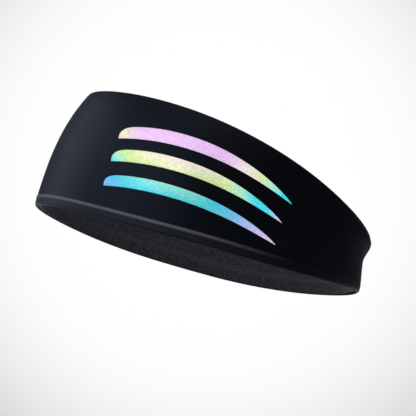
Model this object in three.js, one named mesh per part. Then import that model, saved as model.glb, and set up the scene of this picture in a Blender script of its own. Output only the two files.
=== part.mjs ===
// Double-layer sports headband, millimetres, +Z up, forehead towards -Y, wearer's left towards +X.
import * as THREE from 'three';
import { LoftGeometry } from 'three/addons/geometries/LoftGeometry.js';

// ---- Overall size of the worn band
const bandLength = 200;
const bandWidth = 140;
const frontTop = 77.5;
const sideTop = 69.3;
const napeTop = 38.5;
const templeSwell = 2.1;
const frontRise = 4.0;
const napeRise = 5.8;
const flatReach = 0.2;

// ---- How the wall follows the head: plan taper, inward lean, waist at the nape
const foreheadTaper = 0.06;
const frontLean = 12.0;
const sideLean = 10.0;
const napeLean = 1.5;
const leanPower = 2.9;
const waistDepth = 2.3;
const waistStart = 0.68;
const waistHeight = 0.54;

// ---- Fabrics, threads and films
const shellThickness = 0.8;
const liningThickness = 0.9;
const turnedThickness = 0.7;
const layerGap = 0.3;
const hemWidth = 5.0;
const hemPuff = 0.5;
const upperPuff = 0.2;
const puffWidth = 1.3;
const liningSetback = 0.5;
const rawEdge = 0.7;
const threadHeight = 1.3;
const seamGroove = 0.35;
const seamWidth = 5.0;
const seamBlend = 7.0;
const filmThickness = 0.3;
const filmGap = 0.3;

// ---- Reflective streaks: angle round the band in degrees, heights above the lower edge
const streaks = {
  upper: { from: 49.8, to: 113.2, start: 48.9, bow: 10.1, drop: 13.3, width: 7.8 },
  middle: { from: 50.2, to: 111.1, start: 35.0, bow: 8.6, drop: 11.2, width: 7.6 },
  lower: { from: 50.4, to: 110.8, start: 20.3, bow: 7.4, drop: 9.2, width: 6.9 },
};
const streakSlant = 0.5;
const streakRound = 0.06;
const streakTip = 0.5;

const stationCount = 72;
const nape = Math.PI;

// Depths of the four fabric layers stacked inside a hem, measured inwards from the outer face.
const shellTurnFace = shellThickness + layerGap;
const shellTurnBack = shellTurnFace + turnedThickness;
const liningTurnFace = shellTurnBack + layerGap;
const liningTurnBack = liningTurnFace + turnedThickness;
const liningHemFace = liningTurnBack + layerGap;
const liningFlatFace = shellThickness + layerGap;
const turnTop = hemWidth - rawEdge;
const threadBottom = turnTop + layerGap;
const threadTop = threadBottom + threadHeight;

const smooth = (value) => {
  const v = THREE.MathUtils.clamp(value, 0, 1);
  return v * v * (3 - 2 * v);
};

// Outline of the band seen from above; t runs from the forehead past the wearer's left ear.
function plan(t) {
  const s = -Math.cos(t);
  const taper = s < 0 ? foreheadTaper : 0;
  const x = (bandWidth / 2) * Math.sin(t) * (1 - taper * s * s);
  return new THREE.Vector2(x, (bandLength / 2) * s);
}

function outward(t) {
  const step = 1e-4;
  const along = plan(t + step).sub(plan(t - step)).normalize();
  return new THREE.Vector2(along.y, -along.x);
}

// Everything about the wall at one angle: both edges, how far it leans in, where it is waisted.
function wall(t) {
  const s = -Math.cos(t);
  const lift = (reach) => Math.max(0, (reach - flatReach) / (1 - flatReach)) ** 2;
  const bottom = frontRise * lift(-s) + napeRise * lift(s);
  const tilt = (napeTop - frontTop) / 2 + templeSwell;
  const sag = (napeTop + frontTop) / 2 - sideTop;
  const top = sideTop + tilt * s + sag * s * s - templeSwell * s ** 3;
  const leanTilt = (napeLean - frontLean) / 2;
  const leanSag = (napeLean + frontLean) / 2 - sideLean;
  const lean = sideLean + leanTilt * s + leanSag * s * s;
  const waist = waistDepth * smooth((s - waistStart) / (1 - waistStart));
  return { t, bottom, height: top - bottom, lean, waist, foot: plan(t), out: outward(t) };
}

// A point of the wall: height above the lower edge, depth inwards from the outer face.
function wallPoint(w, height, depth) {
  const f = THREE.MathUtils.clamp(height / w.height, 0, 1);
  const pinch = f < waistHeight ? smooth(f / waistHeight) : smooth((1 - f) / (1 - waistHeight));
  const inwards = w.lean * f ** leanPower + w.waist * pinch + depth;
  return new THREE.Vector3(
    w.foot.x - w.out.x * inwards,
    w.foot.y - w.out.y * inwards,
    w.bottom + height,
  );
}

// Distance along the outline from the centre of the nape.
function fromNape(t) {
  return Math.abs(t - nape) * plan(nape + 0.01).x * -100;
}

// Angles of the ring's stations, with three close ones for the groove of the nape seam.
function ringAngles() {
  const angles = [];
  for (let i = 0; i < stationCount; i += 1) {
    angles.push((2 * Math.PI * i) / stationCount);
  }
  const perMm = 1 / fromNape(nape + 1);
  angles.push(nape - perMm, nape + perMm, nape - seamWidth * perMm, nape + seamWidth * perMm);
  angles.sort((a, b) => a - b);
  return angles;
}

const stations = ringAngles().map(wall);

function ring(outline) {
  const sections = stations.map((w) => outline(w).map(([h, d]) => wallPoint(w, h, d)));
  sections.push(sections[0]);
  sections.reverse();
  return new LoftGeometry(sections, { closed: true });
}

// Heights shared by the outer and inner faces of the shell between its two folds.
function shellRun(w) {
  const run = [[hemWidth - puffWidth, 0], [hemWidth, hemPuff], [hemWidth + puffWidth, 0]];
  const low = hemWidth + puffWidth;
  const high = w.height - hemWidth - puffWidth;
  for (let i = 1; i <= 5; i += 1) {
    run.push([low + ((high - low) * i) / 6, 0]);
  }
  run.push([high, 0], [w.height - hemWidth, upperPuff], [w.height - hemWidth + puffWidth, 0]);
  return run;
}

// Fold of one fabric from its outer face at depth a to its far face at depth b, at height zero.
function fold(a, b) {
  return [[0.6, a], [0.15, a + 0.15], [0, a + 0.5], [0, b - 0.5], [0.15, b - 0.15], [0.6, b]];
}

const flip = (w, points) => points.map(([h, d]) => [w.height - h, d]);

// Outer shell: smooth outer face, both edges folded in, raw edges turned back between the layers.
function shellOutline(w) {
  const groove = fromNape(w.t) < 0.5 ? seamGroove : 0;
  const outer = shellRun(w).map(([h, puff]) => [h, groove - puff]);
  const inner = shellRun(w).map(([h, puff]) => [h, shellThickness - puff]);
  const turn = fold(0, shellTurnBack);
  const slot = [
    [turnTop, shellTurnBack],
    [turnTop, shellTurnFace],
    [shellThickness, shellTurnFace],
    [shellThickness, shellThickness],
  ];
  return [
    ...outer,
    ...flip(w, turn),
    ...flip(w, slot),
    ...inner.reverse(),
    ...[...slot].reverse(),
    ...[...turn].reverse(),
  ];
}

// Depth of the lining's hidden face: pushed in by the hems and by the nape seam, else flat.
function liningFace(w, height) {
  const edge = Math.min(height, w.height - height);
  const hem = 1 - smooth((edge - threadTop - layerGap) / hemWidth);
  const seam = 1 - smooth((fromNape(w.t) - seamWidth - 1) / seamBlend);
  return THREE.MathUtils.lerp(liningFlatFace, liningHemFace, Math.max(hem, seam));
}

// Heights shared by both faces of the lining between its folds.
function liningRun(w) {
  const start = threadTop + layerGap;
  const run = [];
  for (let i = 0; i <= 3; i += 1) {
    run.push(start + (hemWidth * i) / 3);
  }
  const low = start + hemWidth;
  const high = w.height - low;
  for (let i = 1; i <= 3; i += 1) {
    run.push(low + ((high - low) * i) / 4);
  }
  for (let i = 3; i >= 0; i -= 1) {
    run.push(w.height - start - (hemWidth * i) / 3);
  }
  return run;
}

// Brushed lining: faces the head, its own edges turned outwards against those of the shell.
function liningOutline(w) {
  const groove = fromNape(w.t) < 0.5 ? seamGroove : 0;
  const back = liningHemFace + liningThickness;
  const hidden = liningRun(w).map((h) => [h, liningFace(w, h)]);
  const worn = hidden.map(([h, d]) => [h, d + liningThickness - groove]);
  const turn = fold(liningTurnFace, back).map(([h, d]) => [h + liningSetback, d]);
  const roof = liningSetback + liningThickness;
  const slot = [
    [roof, liningHemFace],
    [roof, liningTurnBack],
    [turnTop, liningTurnBack],
    [turnTop, liningTurnFace],
  ];
  return [
    ...hidden,
    ...flip(w, slot),
    ...flip(w, turn),
    ...worn.reverse(),
    ...[...turn].reverse(),
    ...[...slot].reverse(),
  ];
}

// Thread chain along the raw edges of one hem, pressed against the shell where it shows as a rib.
function hemThread(w, puff) {
  const near = shellTurnFace - puff * 0.8;
  const mid = threadBottom + threadHeight / 2;
  return [
    [threadBottom, shellTurnFace + 0.2],
    [mid, near],
    [threadTop, near + 0.4],
    [threadTop, liningTurnBack - 0.4],
    [mid, liningTurnBack],
    [threadBottom, liningTurnBack - 0.2],
  ];
}

// Bound allowance of a layer's nape seam, lying flat between the hems to one side of the seam.
function napeThread(side, face) {
  const sections = [];
  for (let i = 0; i <= 6; i += 1) {
    const f = i / 6;
    const place = (mm, depth) => {
      const w = wall(nape + (side * mm) / fromNape(nape + 1));
      const start = threadTop + layerGap;
      return wallPoint(w, THREE.MathUtils.lerp(start, w.height - start, f), depth);
    };
    const back = face + turnedThickness;
    const section = [
      place(0.3, face),
      place(seamWidth / 2, face),
      place(seamWidth, face + 0.1),
      place(seamWidth, back - 0.1),
      place(seamWidth / 2, back),
      place(0.3, back),
    ];
    sections.push(side > 0 ? section : section.reverse());
  }
  return new LoftGeometry(sections, { closed: true, capStart: true, capEnd: true });
}

// One film streak: square lower and rounded upper corner at the start, bowed middle, narrow tip.
function streakFilm({ from, to, start, bow, drop, width }) {
  const steps = 22;
  const sections = [];
  for (let i = 0; i <= steps; i += 1) {
    const u = (1 - Math.cos((Math.PI * i) / steps)) / 2;
    const corner = Math.sqrt(1 - (1 - Math.min(1, 0.1 + u / streakRound)) ** 2);
    const half = (width / 2) * Math.max(streakTip / width, (1 - u ** 4) ** 0.62);
    const middle = start + 4 * bow * u * (1 - u) - drop * u;
    const place = (side, depth) => {
      const angle = from + (to - from) * u + streakSlant * side * (1 - u);
      const reach = side > 0 ? half * corner : -half;
      return wallPoint(wall(THREE.MathUtils.degToRad(angle)), middle + reach, depth);
    };
    const outerFace = -filmGap - filmThickness;
    sections.push([place(-1, outerFace), place(1, outerFace), place(1, -filmGap), place(-1, -filmGap)]);
  }
  sections.reverse();
  return new LoftGeometry(sections, { closed: true, capStart: true, capEnd: true });
}

const knitBlack = new THREE.MeshStandardMaterial({ color: '#15171c', roughness: 0.85, metalness: 0 });
const brushedGrey = new THREE.MeshStandardMaterial({ color: '#2f3036', roughness: 1, metalness: 0 });
const threadBlack = new THREE.MeshStandardMaterial({ color: '#1c1d22', roughness: 0.7, metalness: 0 });
const filmLilac = new THREE.MeshStandardMaterial({ color: '#d9b8f0', roughness: 0.35, metalness: 0.3 });
const filmLime = new THREE.MeshStandardMaterial({ color: '#b9ea8c', roughness: 0.35, metalness: 0.3 });
const filmCyan = new THREE.MeshStandardMaterial({ color: '#45cfe6', roughness: 0.35, metalness: 0.3 });

const headband = new THREE.Group();
headband.name = 'sports_headband';

function add(name, geometry, material) {
  const mesh = new THREE.Mesh(geometry, material);
  mesh.name = name;
  headband.add(mesh);
}

add('outer_shell', ring(shellOutline), knitBlack);
add('lining', ring(liningOutline), brushedGrey);
add('lower_hem_overlock', ring((w) => hemThread(w, hemPuff)), threadBlack);
add('upper_hem_overlock', ring((w) => flip(w, hemThread(w, upperPuff)).reverse()), threadBlack);
add('shell_nape_overlock', napeThread(1, shellTurnFace), threadBlack);
add('lining_nape_overlock', napeThread(-1, liningTurnFace), threadBlack);
add('streak_upper', streakFilm(streaks.upper), filmLilac);
add('streak_middle', streakFilm(streaks.middle), filmLime);
add('streak_lower', streakFilm(streaks.lower), filmCyan);

export default headband;
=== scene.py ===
import math

import bpy
from mathutils import Matrix, Vector, noise


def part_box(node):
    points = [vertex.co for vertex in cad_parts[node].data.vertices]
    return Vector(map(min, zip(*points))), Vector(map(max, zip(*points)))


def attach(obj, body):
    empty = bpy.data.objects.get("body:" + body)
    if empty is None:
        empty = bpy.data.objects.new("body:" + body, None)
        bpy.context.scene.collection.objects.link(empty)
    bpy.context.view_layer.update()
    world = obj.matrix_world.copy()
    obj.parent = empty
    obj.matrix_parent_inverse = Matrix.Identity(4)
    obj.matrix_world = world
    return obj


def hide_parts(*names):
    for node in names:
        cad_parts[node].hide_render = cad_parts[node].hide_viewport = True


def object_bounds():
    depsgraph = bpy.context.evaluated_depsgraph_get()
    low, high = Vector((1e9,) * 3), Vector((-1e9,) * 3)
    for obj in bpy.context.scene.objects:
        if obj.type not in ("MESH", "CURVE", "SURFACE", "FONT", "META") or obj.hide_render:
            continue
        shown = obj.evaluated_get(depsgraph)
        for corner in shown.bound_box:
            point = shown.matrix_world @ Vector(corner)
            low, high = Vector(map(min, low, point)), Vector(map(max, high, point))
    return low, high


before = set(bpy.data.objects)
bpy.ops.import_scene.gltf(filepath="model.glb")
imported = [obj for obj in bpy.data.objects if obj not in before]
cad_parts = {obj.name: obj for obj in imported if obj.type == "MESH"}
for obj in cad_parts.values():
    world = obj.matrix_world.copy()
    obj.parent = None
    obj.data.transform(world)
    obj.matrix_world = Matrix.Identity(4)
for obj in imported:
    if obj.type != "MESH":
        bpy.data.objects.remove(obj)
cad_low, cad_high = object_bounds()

# ---- Camera -----------------------------------------------------------------------------------
# A long lens stands at the wearer's left, a little below the lower edge, so the open underside and
# its lining show. It is rolled, which makes the band fall away towards the nape.
view_azimuth = math.radians(86.0)
view_elevation = math.radians(-9.54)
view_roll = math.radians(15.49)
view_distance = 0.6942
aim_offset = Vector((0.0, -0.0004, -0.0071))
focal_length = 100
sensor_width = 36
nearest_seen = 0.01

towards_lens = Vector((
    math.sin(view_azimuth) * math.cos(view_elevation),
    -math.cos(view_azimuth) * math.cos(view_elevation),
    math.sin(view_elevation),
))
level_right = Vector((math.cos(view_azimuth), math.sin(view_azimuth), 0.0))
level_up = towards_lens.cross(level_right)
lens_right = level_right * math.cos(view_roll) + level_up * math.sin(view_roll)
lens_up = level_up * math.cos(view_roll) - level_right * math.sin(view_roll)

camera = bpy.data.objects.new("camera", bpy.data.cameras.new("camera"))
bpy.context.scene.collection.objects.link(camera)
camera.data.lens = focal_length
camera.data.sensor_width = sensor_width
camera.data.clip_start = nearest_seen
camera.matrix_world = Matrix.Translation(
    (cad_low + cad_high) / 2 + aim_offset + towards_lens * view_distance
) @ Matrix((lens_right, lens_up, towards_lens)).transposed().to_4x4()
bpy.context.scene.camera = camera

# ---- Outer shell ------------------------------------------------------------------------------
# One layer of smooth, dense stretch knit in black with a navy cast, closed by a seam at the nape.
# Both long edges are folded in over the seam allowance; the bound raw edge inside presses out as a
# rib along the lower one. At the nape the wall draws in to a waist and flares again above it.
mm = 0.001
shell_low, shell_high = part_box("outer_shell")

cad_rib_rise = 0.5 * mm
rib_rise = 0.3 * mm
nape_rib_rise = 0.08 * mm
rib_fade = 0.35
rib_half_width = 0.85 * mm
half_length = -shell_low.y - cad_rib_rise
half_width = shell_high.x - cad_rib_rise
front_top = shell_high.z
side_top = 69.3 * mm
nape_top = 38.5 * mm
temple_swell = 2.1 * mm
front_rise = 4.0 * mm
nape_rise = 5.8 * mm
flat_reach = 0.2
forehead_taper = 0.06
front_lean = 12.0 * mm
side_lean = 10.0 * mm
nape_lean = 1.5 * mm
lean_power = 2.9
waist_depth = 1.9 * mm
waist_start = 0.68
waist_height = 0.62
lip_start = 0.93
lip_peak = 0.90
lip_lead = 0.1
lip_flare = 1.3 * mm
lip_at_edge = 0.35
edge_round = 0.3 * mm
nape_edge_round = 0.9 * mm
edge_reach = 3.2 * mm

shell_thickness = 0.8 * mm
turned_thickness = 0.7 * mm
layer_gap = 0.3 * mm
hem_width = 5.0 * mm
raw_edge = 0.7 * mm
upper_rib_rise = 0.04 * mm
shell_turn_face = shell_thickness + layer_gap
shell_turn_back = shell_turn_face + turned_thickness
fabric_ease = 0.16 * mm
ease_waves_per_metre = 42
seam_groove = 0.45 * mm
seam_groove_width = 0.8 * mm

ring_stations = 300
seam_crowding = 0.72
steps_per_wall = 8
fold_steps = 8
tangent_step = 1e-4


def smooth(value):
    """A ramp from 0 to 1 with soft ends."""
    v = min(1.0, max(0.0, value))
    return v * v * (3 - 2 * v)


def plan(t):
    """The band's outline from above; t runs from the forehead past the wearer's left ear."""
    s = -math.cos(t)
    taper = forehead_taper if s < 0 else 0.0
    return Vector((half_width * math.sin(t) * (1 - taper * s * s), half_length * s))


class Wall:
    """The band's wall at one angle round it: its two edges, its lean, and its waist and lip."""

    def __init__(self, t, along=0.0):
        s = -math.cos(t)
        self.along = along
        self.foot = plan(t)
        heading = (plan(t + tangent_step) - plan(t - tangent_step)).normalized()
        self.out = Vector((heading.y, -heading.x))
        front_lift = max(0.0, (-s - flat_reach) / (1 - flat_reach)) ** 2
        nape_lift = max(0.0, (s - flat_reach) / (1 - flat_reach)) ** 2
        self.bottom = front_rise * front_lift + nape_rise * nape_lift
        tilt = (nape_top - front_top) / 2 + temple_swell
        sag = (nape_top + front_top) / 2 - side_top
        top = side_top + tilt * s + sag * s * s - temple_swell * s ** 3
        self.height = top - self.bottom
        lean_sag = (nape_lean + front_lean) / 2 - side_lean
        self.lean = side_lean + (nape_lean - front_lean) / 2 * s + lean_sag * s * s
        at_nape = smooth((s - waist_start) / (1 - waist_start))
        self.waist = waist_depth * at_nape
        self.lip = lip_flare * at_nape
        self.roll = edge_round + (nape_edge_round - edge_round) * at_nape

    def point(self, height, depth):
        """The place this far above the wall's lower edge and this far in from its outer face."""
        f = min(1.0, max(0.0, height / self.height))
        if f < waist_height:
            pinch = smooth(f / waist_height)
        else:
            pinch = smooth((lip_start - f) / (lip_start - waist_height))
        lip = self.lip * smooth((f - waist_height + lip_lead) / (lip_peak - waist_height + lip_lead))
        lip *= lip_at_edge + (1 - lip_at_edge) * smooth((1 - f) / (1 - lip_peak))
        roll = self.roll * max(0.0, 1 - height / edge_reach) ** 2
        inwards = self.lean * f ** lean_power + self.waist * pinch - lip + roll + depth
        place = self.foot - self.out * inwards
        soft = noise.noise(Vector((place.x, place.y, height)) * ease_waves_per_metre)
        place += self.out * fabric_ease * soft
        return Vector((place.x, place.y, self.bottom + height))


def ring_walls(count):
    """Walls all round the band, closest together at the nape seam, and the girth they measure."""

    def angle(i):
        turn = 2 * math.pi * i / count
        return turn - math.pi - seam_crowding * math.sin(turn)

    walls, along = [], 0.0
    for i in range(count):
        walls.append(Wall(angle(i), along))
        for j in range(steps_per_wall):
            part = i + j / steps_per_wall
            along += (plan(angle(part + 1 / steps_per_wall)) - plan(angle(part))).length
    return walls, along


walls, girth = ring_walls(ring_stations)


def from_nape(w):
    """How far round the band this wall lies from the nape seam, the shorter way."""
    return min(w.along, girth - w.along)


def sewn_ring(name, outline):
    """A closed ring: the outline of each wall, joined to the next all the way round the band."""
    rows = [outline(w) for w in walls]
    across = len(rows[0])
    mesh = bpy.data.meshes.new(name)
    points = [w.point(h, d) for w, row in zip(walls, rows) for h, d in row]
    faces = []
    for i in range(len(walls)):
        a, b = i * across, (i + 1) % len(walls) * across
        for j in range(across):
            k = (j + 1) % across
            faces.append((a + j, a + k, b + k, b + j))
    mesh.from_pydata(points, [], faces)
    cloth = mesh.uv_layers.new(name="cloth")
    runs = []
    for row in rows:
        run = [0.0]
        for (h0, d0), (h1, d1) in zip(row, row[1:] + row[:1]):
            run.append(run[-1] + math.hypot(h1 - h0, d1 - d0))
        runs.append(run)
    loop = 0
    for i in range(len(walls)):
        u0 = walls[i].along
        u1 = walls[i + 1].along if i + 1 < len(walls) else girth
        after = runs[(i + 1) % len(walls)]
        for j in range(across):
            corners = ((u0, runs[i][j]), (u0, runs[i][j + 1]), (u1, after[j + 1]), (u1, after[j]))
            for corner in corners:
                cloth.data[loop].uv = corner
                loop += 1
    rise = mesh.attributes.new("rise", "FLOAT", "POINT")
    rise.data.foreach_set("value", [h for row in rows for h, d in row])
    mesh.shade_smooth()
    mesh.flip_normals()
    piece = bpy.data.objects.new(name, mesh)
    bpy.context.scene.collection.objects.link(piece)
    return piece


def folded_edge(outer, inner):
    """The rounded fold of one fabric from its outer face to its far face, rising from height zero."""
    radius = (inner - outer) / 2
    turns = [math.pi * i / fold_steps for i in range(fold_steps + 1)]
    return [(radius * (1 - math.sin(a)), outer + radius * (1 - math.cos(a))) for a in turns]


def rib(height, centre, rise):
    """How far a rib round the band stands out at this height."""
    return rise * math.exp(-(((height - centre) / rib_half_width) ** 2))


def face_heights(w, hem_marks, middle_rows):
    """Heights up one face of a fabric: close marks in both hems, even rows between them."""
    low, high = hem_marks[-1] * mm, w.height - hem_marks[-1] * mm
    rows = [low + (high - low) * i / (middle_rows + 1) for i in range(1, middle_rows + 1)]
    marks = [m * mm for m in hem_marks]
    return marks + rows + [w.height - m for m in reversed(marks)]


def upside_down(w, points):
    """The same points, measured down from the upper edge."""
    return [(w.height - h, d) for h, d in points]


outer_marks = (1.4, 2.2, 3.0, 3.5, 3.9, 4.2, 4.5, 4.75, 5.0, 5.25, 5.5, 5.8, 6.1, 6.5, 7.2, 8.5, 10.5)
outer_rows = 12
inner_marks = (1.7, 2.5, 3.4, 4.3, 5.0, 5.7, 6.8, 8.6)
inner_rows = 8
slot_marks = (1.7, 2.5, 3.4)


def lower_rib(w):
    """How far the bound edge presses out: most over the forehead, hardly at all at the nape."""
    return nape_rib_rise + (rib_rise - nape_rib_rise) * smooth(from_nape(w) / (rib_fade * girth))


def nape_groove(w):
    """How far the nape seam draws the fabric in, right beside it."""
    return seam_groove * math.exp(-((from_nape(w) / seam_groove_width) ** 2))


def shell_outline(w):
    """The shell cut across: its outer face, its upper hem, its inner face and its lower hem."""
    groove = nape_groove(w)
    top = w.height
    lower_rise = lower_rib(w)

    def outer_depth(h):
        return groove - rib(h, hem_width, lower_rise) - rib(h, top - hem_width, upper_rib_rise)

    outer = [(h, outer_depth(h)) for h in face_heights(w, outer_marks, outer_rows)]
    inner_heights = face_heights(w, inner_marks, inner_rows)
    inner = [(h, outer_depth(h) - groove + shell_thickness) for h in inner_heights]
    turn = folded_edge(0.0, shell_turn_back)
    slot = [(h * mm, shell_turn_back) for h in slot_marks]
    slot += [(hem_width - raw_edge, shell_turn_back), (hem_width - raw_edge, shell_turn_face)]
    slot += [(h * mm, shell_turn_face) for h in reversed(slot_marks)]
    slot += [(shell_thickness, shell_turn_face), (shell_thickness, shell_thickness)]
    return outer + upside_down(w, turn + slot) + inner[::-1] + (turn + slot)[::-1]


shell = sewn_ring("outer_shell_knit", shell_outline)
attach(shell, "root")
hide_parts("outer_shell")


def node_adder(tree):
    """A helper that adds a node to this tree; inputs go by name, or by number as i0, i1 and so on."""

    def add(kind, settings=None, **inputs):
        node = tree.nodes.new(kind)
        for key, value in (settings or {}).items():
            setattr(node, key, value)
        for key, value in inputs.items():
            numbered = key[0] == "i" and key[1:].isdigit()
            socket = node.inputs[int(key[1:]) if numbered else key]
            if isinstance(value, bpy.types.NodeSocket):
                tree.links.new(value, socket)
            else:
                socket.default_value = value
        return node

    return add


def new_material(name):
    """A new material, its surface shader, a helper that adds nodes to it, and its links."""
    material = bpy.data.materials.new(name)
    material.use_nodes = True
    tree = material.node_tree
    return material, tree.nodes["Principled BSDF"], node_adder(tree), tree.links


def ramp_stops(ramp, stops):
    """Sets a colour ramp's stops: (place, (red, green, blue))."""
    elements = ramp.color_ramp.elements
    while len(elements) < len(stops):
        elements.new(0.5)
    for element, (place, colour) in zip(elements, stops):
        element.position = place
        element.color = (*colour, 1.0)


wale_pitch = 0.55 * mm
course_pitch = 0.42 * mm
loop_leg_slant = 2.2
loop_leg_height = 0.6
knit_relief = 0.03 * mm
dye_depth = ((0.35, (0.0007, 0.0007, 0.0008)), (0.68, (0.0013, 0.0013, 0.0015)))
# Painted highlight colour for the rib and the turned lower hem, standing in for their sheen.
painted_rib_highlight = (0.062, 0.065, 0.074, 1.0)
rib_core = 0.4 * mm
rib_skirt = 1.3 * mm
hem_highlight = 0.12
hem_highlight_full = 0.8 * hem_width
hem_highlight_end = 1.3 * hem_width
highlight_from = 0.15
highlight_full = 0.32
knit_gloss = (0.38, 0.50)
navy_shine = (0.50, 0.62, 1.0, 1.0)
navy_bloom = (0.62, 0.72, 1.0, 1.0)

shell_knit, surface, add, links = new_material("black_navy_shell_knit")

# Knitted loops: upright wales crossed by courses that slant along each leg of a loop.
cloth_place = add("ShaderNodeUVMap", {"uv_map": "cloth"})
place = add("ShaderNodeSeparateXYZ", i0=cloth_place.outputs["UV"])
wale = add(
    "ShaderNodeMath", {"operation": "MULTIPLY"},
    i0=place.outputs["X"], i1=2 * math.pi / wale_pitch,
)
wale_wave = add("ShaderNodeMath", {"operation": "SINE"}, i0=wale.outputs[0])
leg = add("ShaderNodeMath", {"operation": "ABSOLUTE"}, i0=wale_wave.outputs[0])
course = add(
    "ShaderNodeMath", {"operation": "MULTIPLY"},
    i0=place.outputs["Y"], i1=2 * math.pi / course_pitch,
)
slanted_course = add(
    "ShaderNodeMath", {"operation": "MULTIPLY_ADD"},
    i0=leg.outputs[0], i1=loop_leg_slant, i2=course.outputs[0],
)
course_wave = add("ShaderNodeMath", {"operation": "SINE"}, i0=slanted_course.outputs[0])
loops = add(
    "ShaderNodeMath", {"operation": "MULTIPLY_ADD"},
    i0=leg.outputs[0], i1=loop_leg_height, i2=course_wave.outputs[0],
)
knit_bump = add("ShaderNodeBump", Strength=0.25, Distance=knit_relief, Height=loops.outputs[0])
links.new(knit_bump.outputs["Normal"], surface.inputs["Normal"])

# Dye, with a painted highlight along the rib and the turned lower hem: paler round the front of the
# band, fading towards the nape.
solid_place = add("ShaderNodeTexCoord")
dye = add("ShaderNodeTexNoise", i0=solid_place.outputs["Object"], Scale=55.0, Detail=4.0)
dye_shade = add("ShaderNodeValToRGB", Fac=dye.outputs["Fac"])
ramp_stops(dye_shade, dye_depth)
rise = add("ShaderNodeAttribute", {"attribute_name": "rise"})
above_rib = add("ShaderNodeMath", {"operation": "SUBTRACT"}, i0=rise.outputs["Fac"], i1=hem_width)
off_rib = add("ShaderNodeMath", {"operation": "ABSOLUTE"}, i0=above_rib.outputs[0])
on_rib = add(
    "ShaderNodeMapRange", {"interpolation_type": "SMOOTHSTEP"},
    i0=off_rib.outputs[0], i1=rib_core, i2=rib_skirt, i3=1.0, i4=0.0,
)
in_hem = add(
    "ShaderNodeMapRange", {"interpolation_type": "SMOOTHSTEP"},
    i0=rise.outputs["Fac"], i1=hem_highlight_full, i2=hem_highlight_end, i3=hem_highlight, i4=0.0,
)
highlight_mask = add("ShaderNodeMath", {"operation": "MAXIMUM"}, i0=on_rib.outputs[0], i1=in_hem.outputs[0])
round_band = add("ShaderNodeMath", {"operation": "PINGPONG"}, i0=place.outputs["X"], i1=girth / 2)
towards_front = add(
    "ShaderNodeMapRange", {"interpolation_type": "SMOOTHSTEP"},
    i0=round_band.outputs[0], i1=highlight_from * girth, i2=highlight_full * girth,
)
# Strength of the painted highlight: the rib and hem mask, faded out towards the nape.
painted_highlight = add(
    "ShaderNodeMath", {"operation": "MULTIPLY"},
    i0=highlight_mask.outputs[0], i1=towards_front.outputs[0],
)
highlighted_dye = add(
    "ShaderNodeMix", {"data_type": "RGBA"},
    i0=painted_highlight.outputs[0], i6=dye_shade.outputs["Color"], i7=painted_rib_highlight,
)
links.new(highlighted_dye.outputs[2], surface.inputs["Base Color"])

wear = add("ShaderNodeTexNoise", i0=solid_place.outputs["Object"], Scale=300.0, Detail=3.0)
gloss = add("ShaderNodeMapRange", i0=wear.outputs["Fac"], i3=knit_gloss[0], i4=knit_gloss[1])
links.new(gloss.outputs[0], surface.inputs["Roughness"])
surface.inputs["Specular IOR Level"].default_value = 0.12
surface.inputs["Specular Tint"].default_value = navy_shine
surface.inputs["Sheen Weight"].default_value = 0.08
surface.inputs["Sheen Roughness"].default_value = 0.3
surface.inputs["Sheen Tint"].default_value = navy_bloom
shell.data.materials.append(shell_knit)

# ---- Lining -----------------------------------------------------------------------------------
# A dark grey knit brushed to a short nap on the side that meets the head. Its edges are folded
# outwards and sewn to those of the shell, set back a little so that only the shell shows outside.
lining_thickness = 0.9 * mm
lining_setback = 0.2 * mm
nape_setback = 1.2 * mm
nape_setback_reach = 0.05
thread_height = 1.3 * mm
thread_bottom = hem_width - raw_edge + layer_gap
thread_top = thread_bottom + thread_height
lining_turn_face = shell_turn_back + layer_gap
lining_turn_back = lining_turn_face + turned_thickness
lining_hem_face = lining_turn_back + layer_gap
seam_width = 5.0 * mm
seam_clearance = 1.0 * mm
seam_blend = 7.0 * mm
lining_marks = (3.0, 3.8, 4.6, 6.0, 6.9, 7.8, 8.7, 9.6, 10.5, 11.6)
lining_rows = 10
lining_slot_marks = (2.6, 3.4)


def lining_face(w, height):
    """How deep the lining's hidden side lies: pushed in by the hems and the nape seam."""
    edge = min(height, w.height - height)
    hem = 1 - smooth((edge - thread_top - layer_gap) / hem_width)
    seam = 1 - smooth((from_nape(w) - seam_width - seam_clearance) / seam_blend)
    return shell_turn_face + (lining_hem_face - shell_turn_face) * max(hem, seam)


def lining_outline(w):
    """The lining cut across: its hidden side, its upper hem, its worn side and its lower hem."""
    groove = nape_groove(w)
    worn_side = lining_hem_face + lining_thickness
    heights = face_heights(w, lining_marks, lining_rows)
    hidden = [(h, lining_face(w, h)) for h in heights]
    worn = [(h, d + lining_thickness - groove) for h, d in hidden]
    at_nape = smooth(1 - from_nape(w) / (nape_setback_reach * girth))
    setback = lining_setback + (nape_setback - lining_setback) * at_nape
    turn = [(h + setback, d) for h, d in folded_edge(lining_turn_face, worn_side)]
    roof = setback + lining_thickness
    slot = [(roof, lining_hem_face), (roof, lining_turn_back)]
    slot += [(h * mm, lining_turn_back) for h in lining_slot_marks]
    slot += [(hem_width - raw_edge, lining_turn_back), (hem_width - raw_edge, lining_turn_face)]
    slot += [(h * mm, lining_turn_face) for h in reversed(lining_slot_marks)]
    return hidden + upside_down(w, slot + turn) + worn[::-1] + (slot + turn)[::-1]


lining = sewn_ring("brushed_lining", lining_outline)
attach(lining, "root")
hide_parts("lining")

nap_grain = 900.0
fibre_grain = 1.6 * nap_grain
nap_relief = 0.15 * mm
nap_depth = (
    (0.38, (0.011, 0.012, 0.017)),
    (0.52, (0.024, 0.026, 0.036)),
    (0.64, (0.052, 0.056, 0.072)),
)

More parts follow.
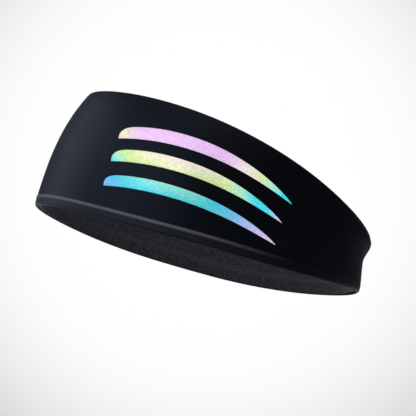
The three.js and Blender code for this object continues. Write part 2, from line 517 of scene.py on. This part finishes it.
# Tufts of brushed nap, dark at their roots and grey at their tips, with single fibres on them.
lining_nap, surface, add, links = new_material("brushed_grey_lining")
solid_place = add("ShaderNodeTexCoord")
tuft = add(
    "ShaderNodeTexNoise",
    i0=solid_place.outputs["Object"], Scale=nap_grain, Detail=2.0, Roughness=0.7,
)
tuft_shade = add("ShaderNodeValToRGB", Fac=tuft.outputs["Fac"])
ramp_stops(tuft_shade, nap_depth)
links.new(tuft_shade.outputs["Color"], surface.inputs["Base Color"])
fibre = add("ShaderNodeTexVoronoi", i0=solid_place.outputs["Object"], Scale=fibre_grain)
nap_height = add(
    "ShaderNodeMath", {"operation": "ADD"},
    i0=tuft.outputs["Fac"], i1=fibre.outputs["Distance"],
)
nap_bump = add("ShaderNodeBump", Strength=0.7, Distance=nap_relief, Height=nap_height.outputs[0])
links.new(nap_bump.outputs["Normal"], surface.inputs["Normal"])
surface.inputs["Roughness"].default_value = 0.95
surface.inputs["Sheen Weight"].default_value = 0.25
surface.inputs["Sheen Roughness"].default_value = 0.6
surface.inputs["Specular IOR Level"].default_value = 0.2
lining.data.materials.append(lining_nap)

# ---- Seam threads -----------------------------------------------------------------------------
# Overlocked edges between the two layers, in polyester filament: one ring inside each hem, round
# the raw edges, and the bound allowance of each layer's own nape seam, pressed flat beside it.
strand_points = 12
strand_swell = 0.8
allowance_rows = 28
allowance_start = 0.3 * mm
allowance_corner = 0.1 * mm
small_turn = 0.001
radians_per_metre = small_turn / (plan(math.pi) - plan(math.pi - small_turn)).length
ply_grain = 700.0
ply_relief = 0.2 * mm
ply_depth = ((0.2, (0.012, 0.012, 0.015)), (0.8, (0.035, 0.036, 0.042)))

seam_thread, surface, add, links = new_material("overlock_thread")
solid_place = add("ShaderNodeTexCoord")
twist = add(
    "ShaderNodeTexWave", {"bands_direction": "DIAGONAL"},
    i0=solid_place.outputs["Object"], Scale=ply_grain, Distortion=1.5,
)
twist_shade = add("ShaderNodeValToRGB", Fac=twist.outputs["Fac"])
ramp_stops(twist_shade, ply_depth)
links.new(twist_shade.outputs["Color"], surface.inputs["Base Color"])
twist_bump = add("ShaderNodeBump", Strength=0.6, Distance=ply_relief, Height=twist.outputs["Fac"])
links.new(twist_bump.outputs["Normal"], surface.inputs["Normal"])
surface.inputs["Roughness"].default_value = 0.55


def lower_strand(w):
    """The thread round the raw edges of the lower hem, swelling a little behind the rib."""
    near = shell_turn_face - strand_swell * lower_rib(w)
    half_depth = (lining_turn_back - near) / 2
    half_height = thread_height / 2
    middle = thread_bottom + half_height
    turns = [2 * math.pi * i / strand_points for i in range(strand_points)]
    return [(middle - half_height * math.cos(a), near + half_depth * (1 - math.sin(a))) for a in turns]


def upper_strand(w):
    """The same thread in the upper hem, a little further in because the rib there is flatter."""
    shift = strand_swell * (lower_rib(w) - upper_rib_rise) / 2
    return upside_down(w, [(h, d + shift) for h, d in lower_strand(w)])[::-1]


def nape_allowance(name, side, face):
    """The bound allowance of one nape seam, from hem to hem, on one side of the seam."""
    back = face + turned_thickness
    section = (
        (allowance_start, face),
        (seam_width / 2, face),
        (seam_width, face + allowance_corner),
        (seam_width, back - allowance_corner),
        (seam_width / 2, back),
        (allowance_start, back),
    )
    points = []
    for row in range(allowance_rows + 1):
        for across, depth in section:
            w = Wall(math.pi + side * across * radians_per_metre)
            low = thread_top + layer_gap
            points.append(w.point(low + (w.height - 2 * low) * row / allowance_rows, depth))
    n = len(section)
    faces = [
        (row * n + j, row * n + (j + 1) % n, (row + 1) * n + (j + 1) % n, (row + 1) * n + j)
        for row in range(allowance_rows)
        for j in range(n)
    ]
    faces += [tuple(reversed(range(n))), tuple(allowance_rows * n + j for j in range(n))]
    mesh = bpy.data.meshes.new(name)
    mesh.from_pydata(points, [], faces)
    if side < 0:
        mesh.flip_normals()
    piece = bpy.data.objects.new(name, mesh)
    bpy.context.scene.collection.objects.link(piece)
    return piece


for node, strand in (
    ("lower_hem_overlock", sewn_ring("lower_hem_thread", lower_strand)),
    ("upper_hem_overlock", sewn_ring("upper_hem_thread", upper_strand)),
    ("shell_nape_overlock", nape_allowance("shell_nape_thread", 1, shell_turn_face)),
    ("lining_nape_overlock", nape_allowance("lining_nape_thread", -1, lining_turn_face)),
):
    strand.data.materials.append(seam_thread)
    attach(strand, "root")
    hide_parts(node)

# ---- Reflective streaks -----------------------------------------------------------------------
# Three slim tapered strips of iridescent reflective film, cut and heat-bonded to the shell on the
# wearer's left. Fine glass grain gives the film its sparkle, painted into its colour as glints and
# white highlights; its colour drifts along each strip.
film_thickness = 0.14 * mm
film_lift = 0.05 * mm
film_steps = 90
film_lanes = 14
streak_slant = -0.4
streak_round = 0.07
streak_round_share = 0.35
upper_taper = 0.62
lower_taper = 0.95
taper_power = 4
heel_narrowing = 0.16
heel_reach = 0.3
streak_tip = 0.25 * mm


def film_strip(name, first, last, start, bow, drop, width):
    """One film strip bent with the wall, from its rounded heel at one angle to its tip at another."""
    points, run_places, faces = [], [], []
    for step in range(film_steps + 1):
        share = (1 - math.cos(math.pi * step / film_steps)) / 2
        for lane in range(film_lanes + 1):
            v = 2 * lane / film_lanes - 1
            turned = max(0.0, (v + streak_round_share) / (1 + streak_round_share))
            u0 = streak_round * (1 - math.sqrt(1 - turned ** 2))
            u = u0 + (1 - u0) * share
            taper = (1 - u ** taper_power) ** (upper_taper if v > 0 else lower_taper)
            taper -= heel_narrowing * max(0.0, 1 - u / heel_reach) ** 2
            w = Wall(math.radians(first + (last - first) * u + streak_slant * v * (1 - u)))
            middle = start + 4 * bow * u * (1 - u) - drop * u
            height = middle + v * max(streak_tip, width * taper) / 2
            for depth in (-film_lift - film_thickness, -film_lift):
                points.append(w.point(height, depth))
                run_places.append((u, (v + 1) / 2))
    across = 2 * (film_lanes + 1)
    top = across - 2
    tip = film_steps * across
    for step in range(film_steps):
        a, b = step * across, (step + 1) * across
        for k in range(0, top, 2):
            faces.append((a + k, b + k, b + k + 2, a + k + 2))
            faces.append((a + k + 1, a + k + 3, b + k + 3, b + k + 1))
        faces.append((a, a + 1, b + 1, b))
        faces.append((a + top, b + top, b + top + 1, a + top + 1))
    for k in range(0, top, 2):
        faces.append((k, k + 2, k + 3, k + 1))
        faces.append((tip + k, tip + k + 1, tip + k + 3, tip + k + 2))
    mesh = bpy.data.meshes.new(name)
    mesh.from_pydata(points, [], faces)
    run = mesh.uv_layers.new(name="run")
    for loop in mesh.loops:
        run.data[loop.index].uv = run_places[loop.vertex_index]
    mesh.shade_smooth()
    strip = bpy.data.objects.new(name, mesh)
    bpy.context.scene.collection.objects.link(strip)
    return strip


tint_wander = 0.018
glass_grain = 2300.0
glass_relief = 0.05 * mm
# Painted glints: the brightness range each grain of glass gets, and the white painted into the
# brightest.
glass_glint = (0.70, 1.02)
sparkle_white = (0.86, 0.86, 0.90, 1.0)
sparkle_white_from = 0.55
sparkle_white_most = 0.16


def film_material(name, lower_edge, upper_edge):
    """Film whose colour runs along the strip, by one row of tints at each long edge."""
    material, surface, add, links = new_material(name)
    run_place = add("ShaderNodeUVMap", {"uv_map": "run"})
    along = add("ShaderNodeSeparateXYZ", i0=run_place.outputs["UV"])
    solid_place = add("ShaderNodeTexCoord")
    drift = add("ShaderNodeTexNoise", i0=solid_place.outputs["Object"], Scale=380.0, Detail=3.0)
    wander = add("ShaderNodeMapRange", i0=drift.outputs["Fac"], i3=-tint_wander, i4=tint_wander)
    place = add(
        "ShaderNodeMath", {"operation": "ADD"},
        i0=along.outputs["X"], i1=wander.outputs[0],
    )
    low = add("ShaderNodeValToRGB", Fac=place.outputs[0])
    ramp_stops(low, lower_edge)
    high = add("ShaderNodeValToRGB", Fac=place.outputs[0])
    ramp_stops(high, upper_edge)
    blend = add(
        "ShaderNodeMix", {"data_type": "RGBA"},
        i0=along.outputs["Y"], i6=low.outputs["Color"], i7=high.outputs["Color"],
    )

    # Painted glints: each grain of glass gets its own brightness in the colour, and the brightest ones
    # are painted towards white as sparkle highlights.
    grain = add("ShaderNodeTexVoronoi", i0=solid_place.outputs["Object"], Scale=glass_grain)
    sparkle = add("ShaderNodeSeparateXYZ", i0=grain.outputs["Color"])
    glint = add("ShaderNodeMapRange", i0=sparkle.outputs["X"], i3=glass_glint[0], i4=glass_glint[1])
    tint = add(
        "ShaderNodeMix", {"data_type": "RGBA", "blend_type": "MULTIPLY"},
        i0=1.0, i6=blend.outputs[2], i7=glint.outputs[0],
    )
    white_sparkle_mask = add(
        "ShaderNodeMapRange",
        i0=sparkle.outputs["Y"], i1=sparkle_white_from, i2=1.0, i3=0.0, i4=sparkle_white_most,
    )
    sparkled_tint = add(
        "ShaderNodeMix", {"data_type": "RGBA"},
        i0=white_sparkle_mask.outputs[0], i6=tint.outputs[2], i7=sparkle_white,
    )
    links.new(sparkled_tint.outputs[2], surface.inputs["Base Color"])
    grain_bump = add(
        "ShaderNodeBump",
        Strength=0.35, Distance=glass_relief, Height=grain.outputs["Distance"],
    )
    links.new(grain_bump.outputs["Normal"], surface.inputs["Normal"])
    surface.inputs["Roughness"].default_value = 0.38
    surface.inputs["Metallic"].default_value = 0.15
    surface.inputs["Specular IOR Level"].default_value = 0.2
    return material


ivory = (0.78, 0.68, 0.50)
pearl = (0.90, 0.74, 0.72)
oyster = (0.80, 0.75, 0.50)
lilac = (0.84, 0.53, 0.90)
mauve = (0.80, 0.51, 0.80)
blush = (0.94, 0.84, 0.84)
straw = (0.68, 0.72, 0.34)
lemon = (0.82, 0.88, 0.46)
lime = (0.60, 0.82, 0.28)
leaf = (0.52, 0.74, 0.20)
mint = (0.44, 0.90, 0.62)
spring = (0.36, 0.76, 0.50)
seafoam = (0.26, 0.74, 0.60)
aqua = (0.04, 0.62, 0.69)
turquoise = (0.02, 0.76, 0.88)
cornflower = (0.20, 0.46, 0.80)
lagoon = (0.02, 0.53, 0.63)
sky = (0.08, 0.43, 0.74)
azure = (0.12, 0.54, 0.80)
periwinkle = (0.36, 0.51, 0.90)
violet = (0.74, 0.54, 0.90)

upper_tints = (
    ((0.0, ivory), (0.05, ivory), (0.12, mauve), (0.34, lilac), (0.60, lilac), (0.70, blush),
     (0.79, lemon), (0.86, mint), (0.93, turquoise)),
    ((0.0, ivory), (0.04, ivory), (0.10, mauve), (0.34, lilac), (0.64, lilac), (0.72, blush),
     (0.80, lemon), (0.88, mint), (0.94, turquoise)),
)
middle_tints = (
    ((0.0, aqua), (0.05, seafoam), (0.12, leaf), (0.27, straw), (0.40, lemon), (0.52, lime),
     (0.66, lime), (0.76, mint), (0.84, turquoise), (0.92, turquoise), (0.98, violet)),
    ((0.0, spring), (0.06, leaf), (0.13, straw), (0.20, oyster), (0.38, pearl), (0.52, pearl),
     (0.66, lemon), (0.74, mint), (0.82, turquoise), (0.90, turquoise), (0.97, violet)),
)
lower_tints = (
    ((0.0, cornflower), (0.06, sky), (0.13, lagoon), (0.34, aqua), (0.60, aqua), (0.70, azure),
     (0.80, periwinkle), (0.92, violet)),
    ((0.0, sky), (0.08, lagoon), (0.30, seafoam), (0.50, seafoam), (0.62, aqua), (0.72, azure),
     (0.81, periwinkle), (0.92, violet)),
)

for node, first, last, start, bow, drop, width, tints in (
    ("streak_upper", 49.8, 113.2, 48.9 * mm, 9.9 * mm, 13.3 * mm, 7.8 * mm, upper_tints),
    ("streak_middle", 50.2, 111.1, 35.0 * mm, 8.6 * mm, 11.2 * mm, 7.6 * mm, middle_tints),
    ("streak_lower", 50.4, 110.8, 20.3 * mm, 7.2 * mm, 9.2 * mm, 6.9 * mm, lower_tints),
):
    strip = film_strip(node + "_film", first, last, start, bow, drop, width)
    strip.data.materials.append(film_material(node + "_iridescent", *tints))
    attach(strip, "root")
    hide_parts(node)

# ---- Floor and light --------------------------------------------------------------------------
# A round sheet of pale paper lies under the band. It shows from above only and thins out to nothing
# towards its rim, so no edge of it is seen. Six softboxes stand round it in a white room.
floor_rings = (0.15, 0.3, 0.5, 0.8)
floor_spokes = 48
floor_drop = 0.05 * mm
floor_fade_start = 0.22
floor_fade_end = 0.75

turns = [2 * math.pi * i / floor_spokes for i in range(floor_spokes)]
floor_points = [(0.0, 0.0, cad_low.z - floor_drop)]
for radius in floor_rings:
    for a in turns:
        floor_points.append((radius * math.cos(a), radius * math.sin(a), cad_low.z - floor_drop))
floor_faces = [(0, 1 + i, 1 + (i + 1) % floor_spokes) for i in range(floor_spokes)]
for ring in range(len(floor_rings) - 1):
    a = 1 + floor_spokes * ring
    b = a + floor_spokes
    for i in range(floor_spokes):
        k = (i + 1) % floor_spokes
        floor_faces.append((a + i, b + i, b + k, a + k))
floor_mesh = bpy.data.meshes.new("pale_floor")
floor_mesh.from_pydata(floor_points, [], floor_faces)
floor = bpy.data.objects.new("pale_floor", floor_mesh)
bpy.context.scene.collection.objects.link(floor)

floor_paper, surface, add, links = new_material("pale_floor_paper")
surface.inputs["Base Color"].default_value = (0.86, 0.86, 0.87, 1.0)
surface.inputs["Roughness"].default_value = 0.9
side = add("ShaderNodeNewGeometry")
spread = add("ShaderNodeTexCoord")
reach = add("ShaderNodeVectorMath", {"operation": "LENGTH"}, i0=spread.outputs["Object"])
fading = add(
    "ShaderNodeMapRange", {"interpolation_type": "SMOOTHERSTEP"},
    i0=reach.outputs["Value"], i1=floor_fade_start, i2=floor_fade_end,
)
unseen = add(
    "ShaderNodeMath", {"operation": "MAXIMUM"},
    i0=side.outputs["Backfacing"], i1=fading.outputs[0],
)
clear = add("ShaderNodeBsdfTransparent")
one_sided = add(
    "ShaderNodeMixShader",
    i0=unseen.outputs[0], i1=surface.outputs[0], i2=clear.outputs[0],
)
paper_end = floor_paper.node_tree.nodes["Material Output"]
links.new(one_sided.outputs[0], paper_end.inputs["Surface"])
floor_mesh.materials.append(floor_paper)

# Each softbox stands a metre from the middle of the band, at its bearing and elevation in degrees.
# The two that only fill the shadows give no reflection.
band_middle = Vector((0.0, 0.0, 0.04))

for name, bearing, elevation, size, watts, tint, glossy in (
    ("before_forehead", -5, 17, (0.9, 0.8), 6.5, (0.72, 0.84, 1.0), True),
    ("left_quarter", 48, 18, (0.6, 0.6), 4.4, (0.94, 0.97, 1.0), True),
    ("overhead", 60, 66, (0.7, 0.7), 2.6, (1.0, 1.0, 1.0), True),
    ("over_nape", 175, 38, (0.6, 0.6), 1.6, (1.0, 1.0, 1.0), False),
    ("right_side", 272, 30, (0.6, 0.5), 3.4, (0.92, 0.96, 1.0), True),
    ("side_fill", 125, 12, (0.8, 0.8), 6.0, (1.0, 1.0, 1.0), False),
):
    a, e = math.radians(bearing), math.radians(elevation)
    outwards = Vector((math.sin(a) * math.cos(e), -math.cos(a) * math.cos(e), math.sin(e)))
    softbox = bpy.data.objects.new(name, bpy.data.lights.new(name, "AREA"))
    bpy.context.scene.collection.objects.link(softbox)
    softbox.data.shape = "RECTANGLE"
    softbox.data.size, softbox.data.size_y = size
    softbox.data.energy = watts
    softbox.data.color = tint
    softbox.location = band_middle + outwards
    softbox.rotation_mode = "QUATERNION"
    softbox.rotation_quaternion = outwards.to_track_quat("Z", "Y")
    softbox.visible_glossy = glossy
    softbox.visible_camera = False

# The room is white behind the band and dims a little away from it. It adds hardly any light.
brightest_lift = 0.12 * sensor_width / 2 / focal_length
brightest_within = math.radians(5.0)
dimmest_beyond = math.radians(18.5)
dimmest_white = 0.62
room_glow = 0.08

world = bpy.data.worlds.new("white_room")
bpy.context.scene.world = world
world.use_nodes = True
room_nodes = world.node_tree.nodes
add = node_adder(world.node_tree)
backdrop = room_nodes["Background"]
heading = add("ShaderNodeTexCoord")
facing = add(
    "ShaderNodeVectorMath", {"operation": "DOT_PRODUCT"},
    i0=heading.outputs["Generated"], i1=brightest_lift * lens_up - towards_lens,
)
falling_off = add(
    "ShaderNodeMapRange", {"interpolation_type": "SMOOTHERSTEP"},
    i0=facing.outputs["Value"], i1=math.cos(dimmest_beyond), i2=math.cos(brightest_within),
    i3=dimmest_white, i4=1.0,
)
world.node_tree.links.new(falling_off.outputs[0], backdrop.inputs["Color"])
glow = add("ShaderNodeBackground", Color=(0.9, 0.94, 1.0, 1.0), Strength=room_glow)
ray = add("ShaderNodeLightPath")
room = add(
    "ShaderNodeMixShader",
    i0=ray.outputs["Is Camera Ray"], i1=glow.outputs[0], i2=backdrop.outputs[0],
)
world.node_tree.links.new(room.outputs[0], room_nodes["World Output"].inputs["Surface"])
bpy.context.scene.view_settings.view_transform = "Standard"
